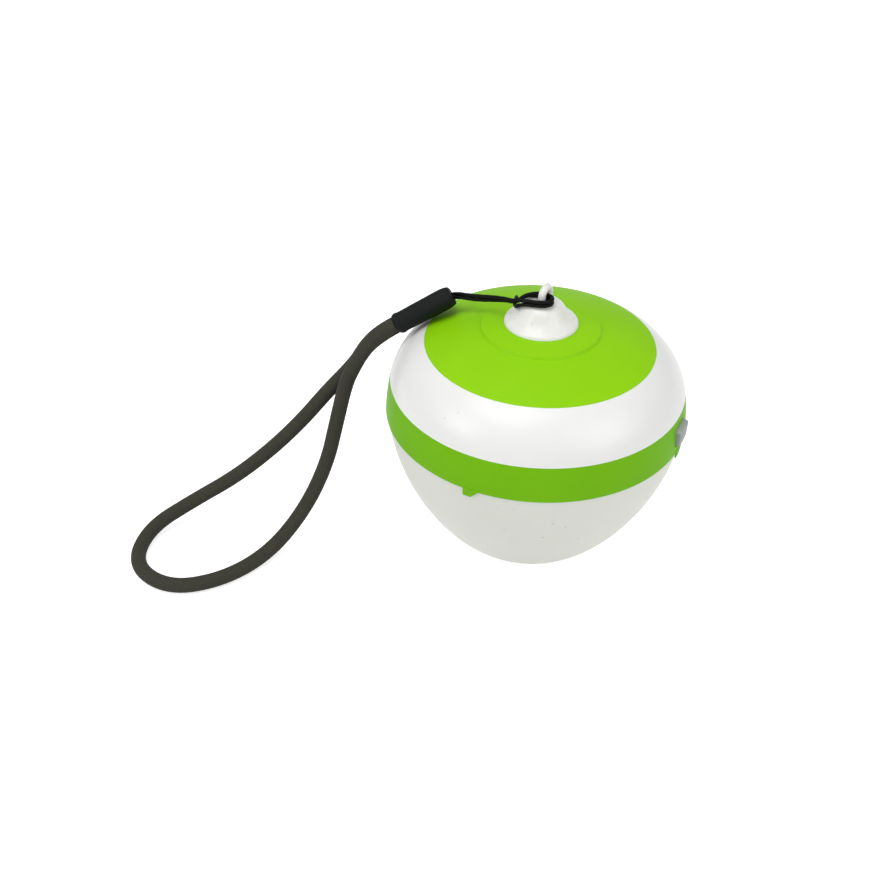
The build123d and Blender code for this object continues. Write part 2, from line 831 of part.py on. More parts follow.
def bend_radii(points):
    """Largest sensible arc at each inner point of a route."""
    radii = []
    for before, here, after in zip(points, points[1:], points[2:]):
        run_in = Vector(*here) - Vector(*before)
        run_out = Vector(*after) - Vector(*here)
        half_turn = radians(run_in.get_angle(run_out)) / 2
        radii.append(0.45 * min(run_in.length, run_out.length) / tan(half_turn))
    return radii


def cord(points, size, name):
    """Round cord along straight runs joined by tangent arcs; prints its arcs and volume."""
    radii = bend_radii(points)
    with BuildPart() as tube:
        with BuildLine() as route:
            FilletPolyline(*points, radius=radii)
        with BuildSketch(Plane(route.line @ 0, z_dir=route.line % 0)):
            Circle(size / 2)
        sweep(path=route.line)
    length = route.wire().length
    share = tube.part.volume / (pi * (size / 2)**2 * length)
    print(f"{name}: length {length:.1f} mm, volume over section x length {share:.4f},",
          "arc radii", " ".join(f"{radius:.1f}" for radius in radii))
    return tube.part


lead_start = tray_half_y
battery_route = (
    (-8.0, lead_start, 66.0),
    (-8.0, lead_start + 2.4, 66.0),
    (-12.5, lead_start + 4.6, 66.4),
    (-18.5, lead_start + 3.2, 67.2),
    (-21.6, 21.0, 68.2),
    (-22.2, 13.4, 69.2),
    (-22.6, 6.8, driver_top + 2.0),
    (-22.6, 6.8, driver_top),
)
for name, rise, shift in (("battery_lead_red", 0.0, 0.0), ("battery_lead_black", 1.8, 1.4)):
    route = [(x + shift, y, z + rise) for x, y, z in battery_route[:2]]
    route += [(x, y, z + rise) for x, y, z in battery_route[2:-2]]
    route += [(x + shift, y, z + rise) for x, y, z in battery_route[-2:-1]]
    route.append((battery_route[-1][0] + shift, battery_route[-1][1], driver_top))
    tube = cord(route, wire_size, name)
    with BuildPart() as lead:
        add(tube)
    save(lead, name)

switch_top = pad_centre + switch_board_height / 2
switch_lead_x = board_back + switch_board_thickness / 2
switch_route = (
    (39.6, 7.6, switch_top + 4.6),
    (35.6, 17.4, switch_top + 5.0),
    (26.6, 27.6, switch_top + 5.2),
    (12.6, 35.2, switch_top + 5.4),
    (-3.6, 36.8, switch_top + 5.6),
    (-19.4, 33.4, switch_top + 5.8),
    (-31.4, 24.6, switch_top + 6.2),
    (-36.8, 13.4, switch_top + 7.2),
    (-36.0, 4.6, switch_top + 8.4),
    (-32.4, 0.8, switch_top + 9.0),
)
switch_lead_step = 1.5    # the second lead lies this much above the first
switch_tubes = []
for step in (0, 1):
    rise = switch_lead_step * step
    start_y = 2.0 - 1.6 * step
    end_x = -28.6 + 1.8 * step
    route = [(switch_lead_x, start_y, switch_top), (switch_lead_x, start_y, switch_top + 3.2 + rise)]
    route += [(x, y, z + rise) for x, y, z in switch_route]
    route += [(end_x, 0.0, driver_top + 2.4 + rise), (end_x, 0.0, driver_top)]
    switch_tubes.append(cord(route, wire_size, "switch_leads"))
with BuildPart() as switch_leads:
    add(switch_tubes)
save(switch_leads, "switch_leads")

light_tubes = []
for side in (-1.2, 1.2):
    light_route = (
        (-led_radius, side, floor_low),
        (-led_radius, side, driver_top + 1.8),
        (driver_place[0] - 4.2, side, driver_top + 2.2),
        (driver_place[0] - 4.2, side, driver_top),
    )
    light_tubes.append(cord(light_route, wire_size, "light_leads"))
with BuildPart() as light_leads:
    add(light_tubes)
save(light_leads, "light_leads")

# The sleeve lies over the lamp's shoulder; its flat ends take the two cords.
sleeve_top = Vector(-30.5, -0.3, 85.7)
sleeve_end = Vector(-45.1, -11.0, 76.4)
sleeve_axis = (sleeve_end - sleeve_top).normalized()
view_across = Vector(-0.35, 0.71, -0.61)
sleeve_side = sleeve_axis.cross(view_across).normalized()
sleeve_across = sleeve_side.cross(sleeve_axis).normalized()
loop_spread = 2.65
string_spread = 0.8

with BuildPart() as lanyard_sleeve:
    with BuildSketch(Plane(sleeve_top, x_dir=sleeve_across, z_dir=sleeve_axis)):
        SlotOverall(sleeve_width, sleeve_thickness)
    extrude(amount=(sleeve_end - sleeve_top).length)
    flat_ends = lanyard_sleeve.faces().filter_by(GeomType.PLANE).sort_by(SortBy.AREA)[:2]
    fillet(flat_ends.edges(), 0.5)
save(lanyard_sleeve, "lanyard_sleeve")

loop_start = sleeve_end - sleeve_across * loop_spread
loop_finish = sleeve_end + sleeve_across * loop_spread
loop_route = [
    loop_start,
    loop_start + sleeve_axis * 5.0,
    (-52.1, -18.8, 70.7),
    (-55.4, -22.2, 63.0),
    (-58.0, -23.0, 56.5),
    (-60.0, -26.5, 43.0),
    (-62.0, -31.5, 27.0),
    (-66.0, -41.5, 12.0),
    (-71.0, -57.0, 2.8),
    (-77.5, -74.5, 2.8),
    (-91.0, -86.0, 2.8),
    (-108.5, -82.5, 2.8),
    (-115.5, -65.5, 2.8),
    (-106.0, -51.0, 8.5),
    (-93.0, -42.5, 18.0),
    (-81.5, -34.5, 29.5),
    (-73.0, -27.5, 40.0),
    (-66.0, -21.5, 50.5),
    (-58.1, -16.9, 60.6),
    loop_finish + sleeve_axis * 9.4,
    loop_finish,
]
loop_tube = cord(loop_route, loop_size, "lanyard_loop")
with BuildPart() as lanyard_loop:
    add(loop_tube)
save(lanyard_loop, "lanyard_loop")

# The string leaves the sleeve, goes behind the eyelet's near leg and through the eyelet,
# comes back in front of the leg, and turns round its own two strands.
string_lead = sleeve_axis * -1.5
upper_start = sleeve_top - sleeve_side * string_spread
lower_start = sleeve_top + sleeve_side * string_spread
string_route = [
    upper_start,
    upper_start + string_lead,
    (-27.1, 1.6, 86.9),
    (-21.0, 0.9, 87.2),
    (-12.0, -1.9, 90.3),
    (-7.2, -3.2, 92.3),
    (-4.6, -1.9, 93.6),
    (-2.2, -0.4, 94.0),
    (0.3, 0.05, 93.95),
    (2.7, -0.2, 94.0),
    (4.1, -2.3, 94.2),
    (3.0, -4.7, 94.2),
    (-0.6, -5.2, 93.6),
    (-3.8, -5.1, 93.1),
    (-7.2, -4.9, 93.7),
    (-7.5, -1.5, 93.7),
    (-7.5, -1.5, 89.7),
    (-7.2, -4.9, 89.8),
    (-3.8, -5.1, 91.8),
    (-0.6, -5.2, 92.3),
    (3.0, -4.7, 92.9),
    (4.1, -2.3, 92.9),
    (2.7, -0.2, 92.75),
    (0.3, 0.05, 92.7),
    (-2.2, -0.4, 92.75),
    (-4.6, -1.9, 92.35),
    (-7.2, -3.2, 91.0),
    (-12.0, -1.9, 89.0),
    (-21.0, 0.9, 85.6),
    (-26.2, 1.2, 85.4),
    lower_start + string_lead,
    lower_start,
]
string_tube = cord(string_route, string_size, "lanyard_string")
with BuildPart() as lanyard_string:
    add(string_tube)
save(lanyard_string, "lanyard_string")
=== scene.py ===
# %% [markdown]
# # A floating pool light
# The lamp is a hand-sized globe in four visible parts: a frosted bowl, a green band, a white
# shoulder with a green cap let into it, and a small white bell with a ring for the lanyard.
# The engineering model already gives each part its true shape, so this lesson adds what that
# model leaves out: soft lights, cords that look woven, a moulded rubber sleeve, and plastics
# with grain, scuffs and slightly uneven colour. Everything is in metres, in the same frame.

import bpy
import numpy as np
from mathutils import Matrix, Vector


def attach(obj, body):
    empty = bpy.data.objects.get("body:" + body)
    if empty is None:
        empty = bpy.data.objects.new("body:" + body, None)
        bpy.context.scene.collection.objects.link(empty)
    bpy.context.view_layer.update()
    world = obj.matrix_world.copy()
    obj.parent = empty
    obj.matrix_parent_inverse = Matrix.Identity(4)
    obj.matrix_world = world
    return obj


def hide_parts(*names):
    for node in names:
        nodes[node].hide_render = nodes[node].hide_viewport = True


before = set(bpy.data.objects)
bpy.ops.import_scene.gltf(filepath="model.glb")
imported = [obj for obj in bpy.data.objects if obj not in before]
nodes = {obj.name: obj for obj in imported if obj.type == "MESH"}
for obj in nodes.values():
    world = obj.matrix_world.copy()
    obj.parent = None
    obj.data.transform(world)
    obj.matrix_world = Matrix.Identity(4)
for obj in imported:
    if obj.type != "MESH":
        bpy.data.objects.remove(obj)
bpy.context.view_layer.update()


# %% [markdown]
# ## Camera
# The camera stands in front of the lamp, a little to the right, and looks down at it by about
# thirty-seven degrees. Its turn is given by three directions of its own frame: right, up and back.

# %% Camera
camera_place = (0.091947, -0.252623, 0.242570)
camera_right = Vector((0.89296, 0.44997, 0.01195)).normalized()
camera_back = Vector((0.35133, -0.71331, 0.60643)).normalized()
camera_up = camera_back.cross(camera_right).normalized()
camera_right = camera_up.cross(camera_back)
SENSOR_WIDTH = 36.0      # millimetres, as Blender measures it
FOCAL_LENGTH = 40.449    # millimetres

camera_data = bpy.data.cameras.new("camera")
camera_data.sensor_width = SENSOR_WIDTH
camera_data.lens = FOCAL_LENGTH
camera = bpy.data.objects.new("camera", camera_data)
turn = Matrix((camera_right, camera_up, camera_back)).transposed().to_4x4()
camera.matrix_world = Matrix.Translation(camera_place) @ turn
bpy.context.scene.collection.objects.link(camera)
bpy.context.scene.camera = camera
print("lens:", round(camera_data.lens, 2), "mm")

# %% [markdown]
# ## The lanyard's route
# A wrist lanyard is two cords joined by a rubber sleeve: a thick woven loop for the wrist and a
# thin string that is hitched round the ring on the lamp. Each cord follows one smooth NURBS
# curve of order three, whose control points are the places the cord is led through.

# %% Where the sleeve lies
MM = 0.001
sleeve_top = np.array((-30.5, -0.3, 85.7)) * MM
sleeve_end = np.array((-45.1, -11.0, 76.4)) * MM
SLEEVE_WIDTH = 11.0 * MM
SLEEVE_THICKNESS = 6.8 * MM
LOOP_DIAMETER = 5.0 * MM
STRING_DIAMETER = 1.2 * MM
LOOP_SPREAD = 2.65 * MM      # each end of the loop lies this far from the sleeve's middle
STRING_SPREAD = 0.62 * MM    # and each strand this far from the middle of the string's hole
STRING_OFFSET = 0.4 * MM     # the string's hole lies this far below the sleeve's middle
WIDTH_DIRECTION = (-0.35, 0.71, -0.61)    # the sleeve's width lies as near this as it can


def unit(vector):
    """A vector divided by its length."""
    return vector / np.linalg.norm(vector)


sleeve_length = np.linalg.norm(sleeve_end - sleeve_top)
sleeve_axis = unit(sleeve_end - sleeve_top)
sleeve_side = unit(np.cross(sleeve_axis, WIDTH_DIRECTION))
sleeve_across = unit(np.cross(sleeve_side, sleeve_axis))
print("sleeve length:", round(sleeve_length / MM, 1), "mm")

# %% Control points of the wrist loop
FIRST_LEAD = 5.0 * MM        # how far each end runs straight out of the sleeve
SECOND_LEAD = 9.4 * MM
loop_start = sleeve_end - sleeve_across * LOOP_SPREAD
loop_finish = sleeve_end + sleeve_across * LOOP_SPREAD
loop_middle = np.array((
    (-52.1, -18.8, 70.7), (-55.4, -22.2, 63.0), (-58.0, -23.0, 56.5), (-60.0, -26.5, 43.0),
    (-62.0, -31.5, 27.0), (-66.0, -41.5, 12.0), (-71.0, -57.0, 2.8), (-77.5, -74.5, 2.8),
    (-91.0, -86.0, 2.8), (-108.5, -82.5, 2.8), (-115.5, -65.5, 2.8), (-106.0, -51.0, 8.5),
    (-93.0, -42.5, 18.0), (-81.5, -34.5, 29.5), (-73.0, -27.5, 40.0), (-66.0, -21.5, 50.5),
    (-58.1, -16.9, 60.6),
)) * MM
loop_route = np.vstack((
    loop_start,
    loop_start + sleeve_axis * FIRST_LEAD,
    loop_middle,
    loop_finish + sleeve_axis * SECOND_LEAD,
    loop_finish,
))

print("loop points:", len(loop_route))

# %% Control points of the string
STRING_LEAD = 1.0 * MM
string_lead = -STRING_LEAD * sleeve_axis
upper_start = sleeve_top + sleeve_side * (STRING_OFFSET - STRING_SPREAD)
lower_start = sleeve_top + sleeve_side * (STRING_OFFSET + STRING_SPREAD)
string_middle = np.array((
    (-22.59, -0.44, 87.54), (-15.47, -1.99, 89.81), (-10.44, -3.24, 91.09), (-7.11, -3.59, 91.26),
    (-5.10, -2.00, 93.20), (-2.30, -0.50, 93.85), (0.30, 0.05, 93.95), (2.70, -0.20, 94.00),
    (4.10, -2.30, 94.10), (3.00, -4.70, 94.00), (-0.60, -5.20, 93.60), (-3.80, -5.25, 93.15),
    (-6.63, -4.58, 92.41), (-7.71, -2.43, 92.27), (-8.22, -1.38, 91.00), (-8.89, -0.80, 89.70),
    (-8.49, -1.58, 88.55), (-7.36, -3.03, 89.05), (-6.40, -4.99, 90.72), (-3.80, -5.25, 91.90),
    (-0.60, -5.20, 92.35), (3.00, -4.70, 92.75), (4.10, -2.30, 92.85), (2.70, -0.20, 92.75),
    (0.30, 0.05, 92.70), (-2.20, -0.10, 92.85), (-5.40, -1.00, 92.40), (-7.49, -2.81, 90.34),
    (-10.76, -2.56, 90.11), (-15.53, -1.81, 88.59), (-22.41, -0.76, 86.36),
)) * MM
string_route = np.vstack((
    upper_start,
    upper_start + string_lead,
    string_middle,
    lower_start + string_lead,
    lower_start,
))
print("string points:", len(string_route))

# %% Read a smooth line from a route
NURBS_ORDER = 3
CURVE_STEPS = 16             # straight pieces that Blender makes between two control points
LOOP_SPACING = 0.35 * MM
STRING_SPACING = 0.16 * MM


def smooth_line(route, spacing):
    """Evenly spaced points along the NURBS curve that takes route as its control points."""
    data = bpy.data.curves.new("route", "CURVE")
    data.dimensions = "3D"
    data.resolution_u = CURVE_STEPS
    spline = data.splines.new("NURBS")
    spline.points.add(len(route) - 1)
    weights = np.ones((len(route), 1))
    spline.points.foreach_set("co", np.hstack((route, weights)).ravel())
    spline.order_u = NURBS_ORDER
    spline.use_endpoint_u = True
    holder = bpy.data.objects.new("route", data)
    mesh = bpy.data.meshes.new_from_object(holder)
    points = np.empty(len(mesh.vertices) * 3)
    mesh.vertices.foreach_get("co", points)
    points = points.reshape(-1, 3)
    bpy.data.meshes.remove(mesh)
    bpy.data.objects.remove(holder)
    bpy.data.curves.remove(data)
    travelled = np.append(0, np.cumsum(np.linalg.norm(np.diff(points, axis=0), axis=1)))
    count = int(round(travelled[-1] / spacing)) + 1
    places = np.linspace(0, travelled[-1], count)
    line = np.column_stack([np.interp(places, travelled, points[:, k]) for k in range(3)])
    return line, places


loop_line, loop_places = smooth_line(loop_route, LOOP_SPACING)
string_line, string_places = smooth_line(string_route, STRING_SPACING)
print("loop length:", round(loop_places[-1] / MM, 1), "mm")
print("string length:", round(string_places[-1] / MM, 1), "mm")

# %% [markdown]
# ## Surfaces from grids
# Every new piece is a grid of points: one parameter runs along it and the other round it.
# Neighbouring points make four-sided faces, and a flat cap closes each end.

# %% Turn a grid into a mesh piece
def grid_piece(name, grid, body, uv=None):
    """Piece from a (rows, columns, 3) grid whose columns close, capped at both ends.

    Each face joins row r and r + 1 at column c and c + 1, counted round.
    """
    rows, columns = grid.shape[:2]
    r, c = np.meshgrid(np.arange(rows - 1), np.arange(columns), indexing="ij")
    following = (c + 1) % columns
    faces = np.stack((
        r * columns + c,
        r * columns + following,
        (r + 1) * columns + following,
        (r + 1) * columns + c,
    ), axis=-1).reshape(-1, 4)
    first_cap = list(range(columns))[::-1]
    last_cap = list(range((rows - 1) * columns, rows * columns))
    mesh = bpy.data.meshes.new(name)
    mesh.from_pydata(grid.reshape(-1, 3).tolist(), [], faces.tolist() + [first_cap, last_cap])
    if uv is not None:
        add_uv(mesh, uv, r, c, columns)
    mesh.polygons.foreach_set("use_smooth", np.ones(len(mesh.polygons), dtype=bool))
    mesh.validate()
    mesh.update()
    piece = bpy.data.objects.new(name, mesh)
    bpy.context.scene.collection.objects.link(piece)
    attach(piece, body)
    print(name, "faces:", len(mesh.polygons))
    return piece


def add_uv(mesh, uv, r, c, columns):
    """UV map in metres: u runs round the piece and v along it, with no jump at the join."""
    along, girth = uv
    corners_u = np.stack((c, c + 1, c + 1, c), axis=-1) / columns * girth
    corners_v = np.stack((along[r], along[r], along[r + 1], along[r + 1]), axis=-1)
    layer = mesh.uv_layers.new(name="UVMap")
    values = np.zeros(len(layer.data) * 2)
    flat = np.stack((corners_u, corners_v), axis=-1).reshape(-1)
    values[:flat.size] = flat
    layer.data.foreach_set("uv", values)


# %% Carry a round section along a line
def carried_frames(line):
    """Two directions square to the line at each point, turned as little as possible."""
    along = np.gradient(line, axis=0)
    along /= np.linalg.norm(along, axis=1)[:, None]
    first = np.empty_like(line)
    start = np.cross(along[0], (0.0, 0.0, 1.0))
    first[0] = unit(start)
    for k in range(1, len(line)):
        carried = first[k - 1] - along[k] * np.dot(first[k - 1], along[k])
        first[k] = unit(carried)
    return first, np.cross(along, first)


def tube_grid(line, radius):
    """Point = line + radius(place, angle) * (first * cos(angle) + second * sin(angle))."""
    first, second = carried_frames(line)
    angle = np.linspace(0, 2 * np.pi, radius.shape[1], endpoint=False)
    outward = first[:, None] * np.cos(angle)[None, :, None]
    outward = outward + second[:, None] * np.sin(angle)[None, :, None]
    return line[:, None] + outward * radius[..., None]


# %% [markdown]
# ## The wrist loop
# The loop is a round braid: yarns wind both ways round a soft core and pass over and under each
# other. The crossing pattern is real relief here, because it breaks up the cord's outline.
# Two families of helices give it. Where the first family is on top its crown shows, and where
# the second is on top the other crown does.

# %% Braided relief
BRAID_YARNS = 20
BRAID_PITCH = 1.6 * MM
BRAID_RELIEF = 0.08 * MM


def braid_height(places, angle):
    """Height from 0 to 1 of a round braid.

    With a = yarns * angle + 2 pi * place / pitch and b = yarns * angle - 2 pi * place / pitch,
    the crowns are |sin(a / 2)| and |sin(b / 2)|, and the share of the first is
    0.5 + 0.5 * tanh(4 * sin(a / 2) * sin(b / 2)), which swaps at every crossing.
    """
    a = BRAID_YARNS * angle[None] + 2 * np.pi * places[:, None] / BRAID_PITCH
    b = BRAID_YARNS * angle[None] - 2 * np.pi * places[:, None] / BRAID_PITCH
    crown_a = np.sin(a / 2)
    crown_b = np.sin(b / 2)
    share = 0.5 + 0.5 * np.tanh(4 * crown_a * crown_b)
    return share * np.abs(crown_a) + (1 - share) * np.abs(crown_b)


LOOP_COLUMNS = 80
loop_angle = np.linspace(0, 2 * np.pi, LOOP_COLUMNS, endpoint=False)
loop_height = braid_height(loop_places, loop_angle)
loop_radius = LOOP_DIAMETER / 2 - BRAID_RELIEF * (1 - loop_height)
loop_grid = tube_grid(loop_line, loop_radius)
loop_girth = np.pi * LOOP_DIAMETER
wrist_loop = grid_piece(
    "wrist_loop", loop_grid, "lamp_body", (loop_places, loop_girth))
relief = wrist_loop.data.attributes.new("relief", "FLOAT", "POINT")
relief.data.foreach_set("value", loop_height.ravel())
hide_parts("lanyard_loop")

# %% [markdown]
# ## The string
# The string is a thin waxed cord of three plies. It leaves the sleeve as two strands, passes
# behind the ring's near leg, comes round the front and turns back over its own strands.

# %% Twisted string
STRING_COLUMNS = 16
STRING_PLIES = 3
STRING_TWIST = 3.4 * MM
STRING_RELIEF = 0.07 * MM
string_angle = np.linspace(0, 2 * np.pi, STRING_COLUMNS, endpoint=False)
string_turn = np.pi * string_places[:, None] / STRING_TWIST
string_phase = string_angle[None] * STRING_PLIES / 2 - string_turn
string_height = np.sqrt(np.abs(np.cos(string_phase)))
string_radius = STRING_DIAMETER / 2 - STRING_RELIEF * (1 - string_height)
string_grid = tube_grid(string_line, string_radius)
string_girth = np.pi * STRING_DIAMETER
hitch_string = grid_piece(
    "hitch_string", string_grid, "lamp_body", (string_places, string_girth))
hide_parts("lanyard_string")

# %% [markdown]
# ## The sleeve
# The sleeve is a soft rubber moulding that covers the joint of the two cords. Its section is a
# flattened oval. It is fuller at the string's end, narrows slightly towards the loop, and ends
# there in a small lip. A superellipse gives the section, because its corners can be set.

# %% Moulded rubber sleeve
SLEEVE_ROWS = 160
SLEEVE_COLUMNS = 96
SECTION_POWER = 2.7
STRING_END, STRING_END_SIZE = 0.17, 0.74     # rounded share of the length, and size at the face
LOOP_END, LOOP_END_SIZE = 0.04, 0.84
TAPER_START, TAPER_REACH, TAPER = 0.25, 0.6, 0.05        # shares of the length, and of the size
LIP_START, LIP_REACH, LIP_RISE = 0.900, 0.012, 0.045
along_share = np.linspace(0, 1, SLEEVE_ROWS)


def end_rounding(distance, reach, least):
    """Size of the section near an end: least to 1 along the arc sqrt(1 - (1 - d)^2)."""
    near = np.clip(distance / reach, 0, 1)
    return least + (1 - least) * np.sqrt(1 - (1 - near) ** 2)


sleeve_size = end_rounding(along_share, STRING_END, STRING_END_SIZE)
sleeve_size *= end_rounding(1 - along_share, LOOP_END, LOOP_END_SIZE)
sleeve_size *= 1 - TAPER * np.clip((along_share - TAPER_START) / TAPER_REACH, 0, 1)
lip = np.clip((along_share - LIP_START) / LIP_REACH, 0, 1) * LIP_RISE
sleeve_size = np.minimum(sleeve_size + lip * (along_share < 1 - LOOP_END), 1.0)
print("sleeve size, least and most:", sleeve_size.min().round(2), sleeve_size.max().round(2))


# %% The sleeve's section and grid
def superellipse(wave):
    """Sign of the wave times its size to the power 2 / SECTION_POWER."""
    return np.sign(wave) * np.abs(wave) ** (2 / SECTION_POWER)


sleeve_angle = np.linspace(0, 2 * np.pi, SLEEVE_COLUMNS, endpoint=False)
section_across = superellipse(np.cos(sleeve_angle))
section_side = superellipse(np.sin(sleeve_angle))
sleeve_grid = (
    sleeve_top
    + (along_share * sleeve_length)[:, None, None] * sleeve_axis
    + (sleeve_size[:, None] * section_across * SLEEVE_WIDTH / 2)[..., None] * sleeve_across
    + (sleeve_size[:, None] * section_side * SLEEVE_THICKNESS / 2)[..., None] * sleeve_side
)
rubber_sleeve = grid_piece("rubber_sleeve", sleeve_grid, "lamp_body")
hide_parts("lanyard_sleeve")

# %% [markdown]
# ## Shared effects
# All the plastics show the same things in different strengths: a fine moulded grain, a slight
# unevenness of colour, and hairline scuffs from use. Each effect is one node group with named
# inputs, placed in every material that needs it.

# %% Node helpers
def new_group(name, inputs, outputs):
    """Empty shader node group with float inputs (name, default) and named outputs (name, type)."""
    group = bpy.data.node_groups.new(name, "ShaderNodeTree")
    for label, default in inputs:
        socket = group.interface.new_socket(label, in_out="INPUT", socket_type="NodeSocketFloat")
        socket.default_value = default
    for label, kind in outputs:
        group.interface.new_socket(label, in_out="OUTPUT", socket_type=kind)
    return group, group.nodes.new("NodeGroupInput"), group.nodes.new("NodeGroupOutput")


def node(tree, kind, settings=(), **inputs):
    """Add a node, set its properties and its named inputs, and link any input that is a socket."""
    made = tree.nodes.new(kind)
    for label, value in settings:
        setattr(made, label, value)
    for label, value in inputs.items():
        socket = made.inputs[int(label[1:]) if label[0] == "i" and label[1:].isdigit() else label]
        if isinstance(value, bpy.types.NodeSocket):
            tree.links.new(value, socket)
        else:
            socket.default_value = value
    return made


def maths(tree, operation, first, second, **third):
    """Output of a Math node; a third value, as in MULTIPLY_ADD, is given as i2."""
    settings = [("operation", operation)]
    return node(tree, "ShaderNodeMath", settings, i0=first, i1=second, **third).outputs[0]


def ramp(tree, value, low, high):
    """Output that goes from 0 to 1 as value goes from low to high."""
    mapped = node(tree, "ShaderNodeMapRange", Value=value)
    mapped.inputs["From Min"].default_value = low
    mapped.inputs["From Max"].default_value = high
    return mapped.outputs[0]


# %% Moulded grain
FLOAT = "NodeSocketFloat"
grain_group, grain_in, grain_out = new_group(
    "moulded_grain", [("Scale", 900.0), ("Depth", 0.5), ("Dents", 0.0)],
    [("Height", FLOAT), ("Mottle", FLOAT)])
grain_place = node(grain_group, "ShaderNodeTexCoord").outputs["Object"]
fine = node(grain_group, "ShaderNodeTexNoise", Vector=grain_place,
            Scale=grain_in.outputs["Scale"], Detail=3.0, Roughness=0.6)
broad = node(grain_group, "ShaderNodeTexNoise", Vector=grain_place, Scale=38.0,
             Detail=4.0, Roughness=0.55)
grain_height = maths(grain_group, "MULTIPLY", fine.outputs["Fac"], grain_in.outputs["Depth"])
sunk = node(grain_group, "ShaderNodeTexNoise", Vector=grain_place, Scale=190.0, Detail=1.0)
height = maths(
    grain_group, "MULTIPLY_ADD", sunk.outputs["Fac"], grain_in.outputs["Dents"], i2=grain_height)
grain_group.links.new(height, grain_out.inputs["Height"])
grain_group.links.new(broad.outputs["Fac"], grain_out.inputs["Mottle"])

# %% Hairline scuffs and specks
scuff_group, scuff_in, scuff_out = new_group(
    "handling_scuffs", [("Amount", 0.5), ("Specks", 0.3)],
    [("Scuffs", FLOAT), ("Specks", FLOAT)])
scuff_place = node(scuff_group, "ShaderNodeTexCoord").outputs["Object"]
stretched = node(scuff_group, "ShaderNodeMapping", Vector=scuff_place)
stretched.inputs["Rotation"].default_value = (0.5, 0.8, 0.3)
stretched.inputs["Scale"].default_value = (60.0, 900.0, 900.0)
streaks = node(
    scuff_group, "ShaderNodeTexNoise", Vector=stretched.outputs[0], Scale=1.0, Detail=2.0)
where = node(scuff_group, "ShaderNodeTexNoise", Vector=scuff_place, Scale=55.0, Detail=1.0)
streak_mask = ramp(scuff_group, streaks.outputs["Fac"], 0.62, 0.72)
where_mask = ramp(scuff_group, where.outputs["Fac"], 0.48, 0.68)
both = maths(scuff_group, "MULTIPLY", streak_mask, where_mask)
scuffs = maths(scuff_group, "MULTIPLY", both, scuff_in.outputs["Amount"])
dots = node(scuff_group, "ShaderNodeTexVoronoi", Vector=scuff_place, Scale=230.0)
dot_mask = ramp(scuff_group, dots.outputs["Distance"], 0.11, 0.04)
dot_place = maths(scuff_group, "MULTIPLY", dot_mask, where_mask)
specks = maths(scuff_group, "MULTIPLY", dot_place, scuff_in.outputs["Specks"])
scuff_group.links.new(scuffs, scuff_out.inputs["Scuffs"])
scuff_group.links.new(specks, scuff_out.inputs["Specks"])
print("node groups:", [group.name for group in bpy.data.node_groups])

# %% [markdown]
# ## Plastics
# A moulded plastic is one Principled shader. Its colour drifts a little over the surface, its
# gloss is broken by the grain, and scuffs dull it and show paler or darker than the rest.

# %% One function for every moulded plastic
def surface_group(tree, group, **values):
    """Place a node group and set its inputs."""
    placed = tree.nodes.new("ShaderNodeGroup")
    placed.node_tree = group
    for label, value in values.items():
        placed.inputs[label].default_value = value
    return placed


def start_material(name, metallic=0.0, specular=0.5, sheen=0.0, subsurface=0.0):
    """New material; the values that never vary are set on its shader's own sockets."""
    material = bpy.data.materials.new(name)
    material.use_nodes = True
    tree = material.node_tree
    shader = tree.nodes["Principled BSDF"]
    shader.inputs["Metallic"].default_value = metallic
    shader.inputs["Specular IOR Level"].default_value = specular
    shader.inputs["Sheen Weight"].default_value = sheen
    shader.inputs["Subsurface Weight"].default_value = subsurface
    return material, tree, shader


def mix_colours(tree, share, first, second):
    """Colour that goes from first to second as share goes from 0 to 1."""
    mixed = node(tree, "ShaderNodeMix", [("data_type", "RGBA")])
    sockets = (mixed.inputs[0], mixed.inputs[6], mixed.inputs[7])
    for socket, value in zip(sockets, (share, first, second)):
        if isinstance(value, bpy.types.NodeSocket):
            tree.links.new(value, socket)
        elif isinstance(value, float):
            socket.default_value = value
        else:
            socket.default_value = (*value, 1.0)
    return mixed.outputs[2]


SCUFF_ROUGHNESS = 0.35       # how much a full scuff adds to the roughness
MOTTLE_ROUGHNESS = 0.08
BUMP_DEPTH = 0.2 * MM


def moulded_plastic(name, light, dark, gloss, grain=0.4, grain_scale=900.0, bump=0.02,
                    dents=0.0, scuff=0.4, specks=0.0, scuff_colour=(0.8, 0.8, 0.8),
                    speck_colour=(0.25, 0.23, 0.18), **shader_values):
    """Plastic whose colour drifts from light to dark, with roughness near gloss."""
    material, tree, shader = start_material(name, **shader_values)
    grained = surface_group(tree, grain_group, Scale=grain_scale, Depth=grain, Dents=dents)
    used = surface_group(tree, scuff_group, Amount=scuff, Specks=specks)
    drift = mix_colours(tree, grained.outputs["Mottle"], light, dark)
    scuffed = mix_colours(tree, used.outputs["Scuffs"], drift, scuff_colour)
    spotted = mix_colours(tree, used.outputs["Specks"], scuffed, speck_colour)
    tree.links.new(spotted, shader.inputs["Base Color"])
    dulled = maths(tree, "MULTIPLY_ADD", used.outputs["Scuffs"], SCUFF_ROUGHNESS, i2=gloss)
    uneven = maths(tree, "MULTIPLY_ADD", grained.outputs["Mottle"], MOTTLE_ROUGHNESS, i2=dulled)
    tree.links.new(uneven, shader.inputs["Roughness"])
    raised = node(tree, "ShaderNodeBump", Strength=bump, Distance=BUMP_DEPTH,
                  Height=grained.outputs["Height"])
    tree.links.new(raised.outputs[0], shader.inputs["Normal"])
    return material


